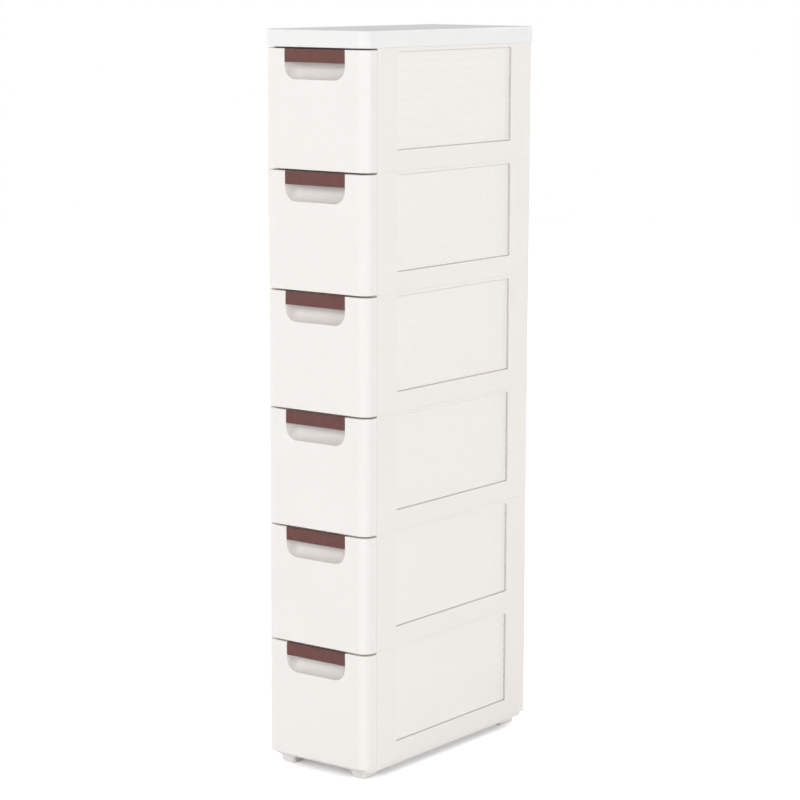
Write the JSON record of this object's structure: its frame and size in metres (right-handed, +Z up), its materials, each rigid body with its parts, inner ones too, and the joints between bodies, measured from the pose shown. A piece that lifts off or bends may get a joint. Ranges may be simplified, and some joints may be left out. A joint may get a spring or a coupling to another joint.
{
  "type": "drawer tower",
  "caption": "Slim white plastic drawer tower with slatted side panels, wrap-round drawer fronts, finger scoops under brown pull bars, a flat top and low feet.",
  "frame": {"origin": "on the floor, under the middle of the tower's footprint", "axes": "+Z up, -Y out of the drawer fronts, +X to the right of someone who faces the drawers"},
  "size_m": [0.21, 0.448, 1.1865],
  "materials": {
    "front_white": "smooth moulded plastic with a soft sheen",
    "cover_white": "fine-grained moulded plastic",
    "panel_white": "fine-grained moulded plastic",
    "tray_white": "plain moulded plastic",
    "foot_white": "plain moulded plastic",
    "bar_brown": "reddish brown moulded plastic with a satin face"
  },
  "bodies": {
    "cabinet": {"base_frame": "panel_white", "foot_front_right": "foot_white", "foot_front_left": "foot_white", "foot_rear_right": "foot_white", "foot_rear_left": "foot_white", "side_panel_right_1": "panel_white", "side_panel_left_1": "panel_white", "back_panel_1": "panel_white", "shelf_frame_1": "panel_white", "side_panel_right_2": "panel_white", "side_panel_left_2": "panel_white", "back_panel_2": "panel_white", "shelf_frame_2": "panel_white", "side_panel_right_3": "panel_white", "side_panel_left_3": "panel_white", "back_panel_3": "panel_white", "shelf_frame_3": "panel_white", "side_panel_right_4": "panel_white", "side_panel_left_4": "panel_white", "back_panel_4": "panel_white", "shelf_frame_4": "panel_white", "side_panel_right_5": "panel_white", "side_panel_left_5": "panel_white", "back_panel_5": "panel_white", "shelf_frame_5": "panel_white", "side_panel_right_6": "panel_white", "side_panel_left_6": "panel_white", "back_panel_6": "panel_white", "shelf_frame_6": "panel_white", "top_cover": "cover_white"},
    "drawer_1": {"drawer_front_1": "front_white", "pull_bar_1": "bar_brown", "drawer_tray_1": "tray_white"},
    "drawer_2": {"drawer_front_2": "front_white", "pull_bar_2": "bar_brown", "drawer_tray_2": "tray_white"},
    "drawer_3": {"drawer_front_3": "front_white", "pull_bar_3": "bar_brown", "drawer_tray_3": "tray_white"},
    "drawer_4": {"drawer_front_4": "front_white", "pull_bar_4": "bar_brown", "drawer_tray_4": "tray_white"},
    "drawer_5": {"drawer_front_5": "front_white", "pull_bar_5": "bar_brown", "drawer_tray_5": "tray_white"},
    "drawer_6": {"drawer_front_6": "front_white", "pull_bar_6": "bar_brown", "drawer_tray_6": "tray_white"}
  },
  "joints": [
    {"name": "drawer_1_slide", "type": "slide", "parent": "cabinet", "child": "drawer_1", "axis": [0, -1, 0], "range_m": [0, 0.29]},
    {"name": "drawer_2_slide", "type": "slide", "parent": "cabinet", "child": "drawer_2", "axis": [0, -1, 0], "range_m": [0, 0.29]},
    {"name": "drawer_3_slide", "type": "slide", "parent": "cabinet", "child": "drawer_3", "axis": [0, -1, 0], "range_m": [0, 0.29]},
    {"name": "drawer_4_slide", "type": "slide", "parent": "cabinet", "child": "drawer_4", "axis": [0, -1, 0], "range_m": [0, 0.29]},
    {"name": "drawer_5_slide", "type": "slide", "parent": "cabinet", "child": "drawer_5", "axis": [0, -1, 0], "range_m": [0, 0.29]},
    {"name": "drawer_6_slide", "type": "slide", "parent": "cabinet", "child": "drawer_6", "axis": [0, -1, 0], "range_m": [0, 0.29]}
  ]
}
